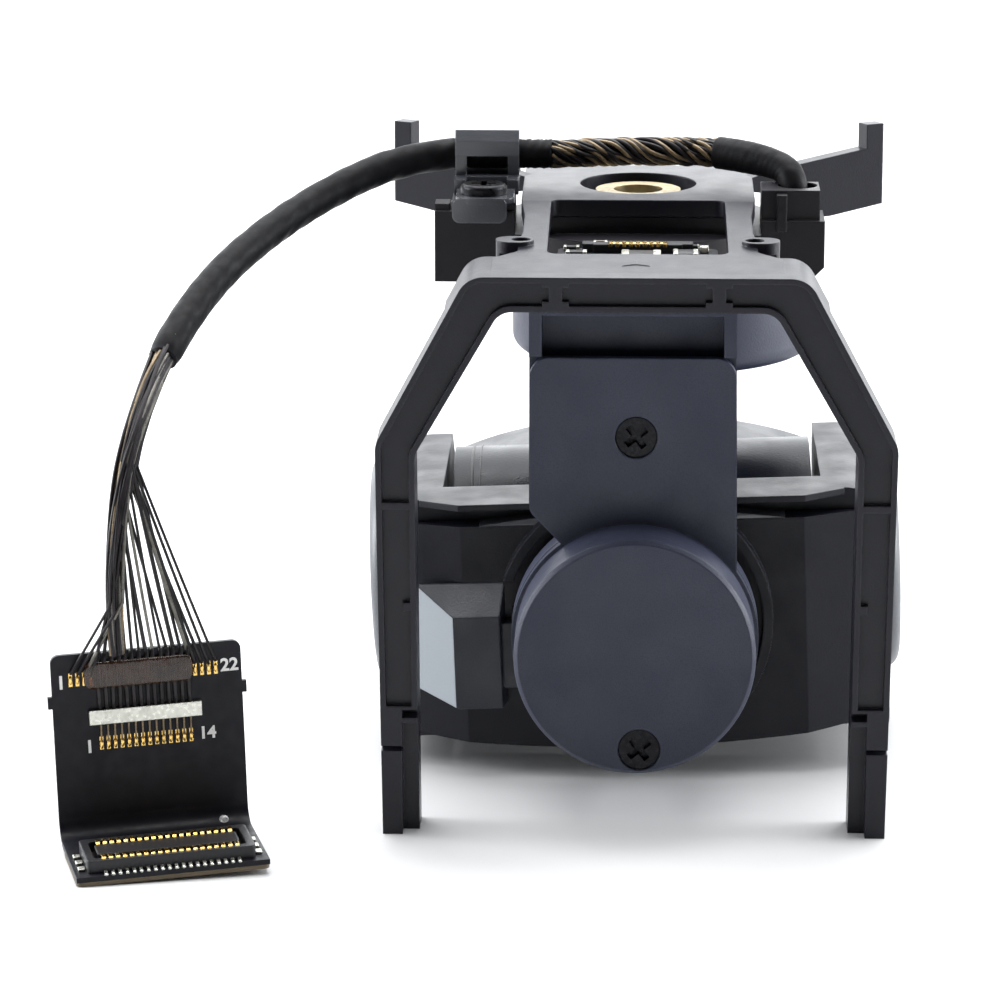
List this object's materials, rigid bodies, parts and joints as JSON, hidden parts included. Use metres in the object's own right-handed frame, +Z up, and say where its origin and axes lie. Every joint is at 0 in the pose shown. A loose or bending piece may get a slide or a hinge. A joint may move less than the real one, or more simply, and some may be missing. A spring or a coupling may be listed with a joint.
{
  "type": "camera gimbal",
  "caption": "Three-axis stabilised camera gimbal with yaw, roll and pitch motors on a legged mounting bracket, with its flying lead and flex connector.",
  "frame": {"origin": "middle of the base on the floor, below the middle of the length from the rear arch to the lens ring; the lead and its connector are not counted", "axes": "+Z up, +Y along the view of the lens, +X to the right when seen from behind; the yaw axis is 4.825 mm in front of the origin"},
  "size_m": [0.0502, 0.047, 0.0378],
  "materials": {
    "bracket_plastic": "matt moulded plastic, very dark grey",
    "carrier_plastic": "satin moulded plastic, black",
    "clip_plastic": "glossy moulded plastic, black",
    "arm_metal": "matt powder-painted magnesium, blue-grey",
    "shell_metal": "matt painted housing, blue-grey",
    "cap_metal": "satin painted cap, grey",
    "camera_shell": "semi-gloss housing, blue-black",
    "aluminium": "turned aluminium",
    "steel": "ground steel",
    "screw_black": "black oxide screw",
    "laminations": "stamped laminations",
    "magnet": "nickel plated magnet",
    "copper": "enamelled copper wire",
    "brass": "bright brass",
    "board": "black solder resist",
    "stiffener": "brown polyimide stiffener",
    "connector_black": "moulded connector housing",
    "gold": "gold plated contact",
    "tin": "tinned metal",
    "sleeve": "black wrap round the wires",
    "wire": "fine enamelled wires, grey and bronze",
    "glue": "clear brown adhesive",
    "glass": "coated optical glass",
    "lens_black": "anodised lens ring, black",
    "silicon": "image sensor"
  },
  "bodies": {
    "mount": {"mount_bracket": "bracket_plastic", "motor_carrier": "carrier_plastic", "carrier_screws": "steel", "yaw_motor_base": "aluminium", "hub_ring": "brass", "yaw_bearings": "steel", "yaw_stator": "laminations", "yaw_coils": "copper", "yaw_board": "board", "board_connector": "connector_black", "board_contacts": "gold", "cable_clip": "clip_plastic", "cable_clip_screw": "screw_black", "cable_wrap_right": "sleeve", "cable_bundle": "wire", "cable_sleeve": "sleeve", "lead_sleeve": "sleeve", "lead_wires": "wire", "wire_glue": "glue", "flex_board": "board", "flex_stiffener": "stiffener", "flex_connector": "connector_black", "connector_contacts": "gold", "connector_tails": "tin", "solder_pads": "gold", "ground_bar": "tin"},
    "yaw": {"yaw_arm": "arm_metal", "yaw_arm_cover": "arm_metal", "yaw_arm_screws": "screw_black", "yaw_rotor_ring": "steel", "yaw_magnets": "magnet", "yaw_shaft": "steel", "roll_stator": "laminations", "roll_coils": "copper", "roll_bearings": "steel"},
    "roll": {"roll_bracket": "shell_metal", "roll_back_cover": "shell_metal", "bracket_screws": "screw_black", "cable_cover": "shell_metal", "roll_rotor": "steel", "roll_magnets": "magnet", "roll_shaft": "steel", "pitch_motor_cap": "cap_metal", "left_side_cap": "cap_metal", "pitch_stator": "laminations", "pitch_coils": "copper", "pitch_bearings": "steel"},
    "camera": {"pitch_rotor": "steel", "pitch_magnets": "magnet", "pitch_shafts": "steel", "camera_rear_shell": "camera_shell", "camera_front_shell": "camera_shell", "camera_screws": "screw_black", "lens_ring": "lens_black", "lens_window": "glass", "lens_barrel": "lens_black", "lens_elements": "glass", "image_sensor": "silicon", "sensor_board": "board", "heat_spreader": "aluminium"}
  },
  "joints": [
    {"name": "yaw_turn", "type": "hinge", "parent": "mount", "child": "yaw", "pos_m": [0, 0.00483, 0.03], "axis": [0, 0, 1], "range_deg": [-20, 20]},
    {"name": "roll_turn", "type": "hinge", "parent": "yaw", "child": "roll", "pos_m": [0, -0.00918, 0.0097], "axis": [0, 1, 0], "range_deg": [-27.8, 32.2]},
    {"name": "pitch_turn", "type": "hinge", "parent": "roll", "child": "camera", "pos_m": [0, 0.00833, 0.0097], "axis": [0.9993, 0, 0.0384], "range_deg": [-110, 32]}
  ]
}
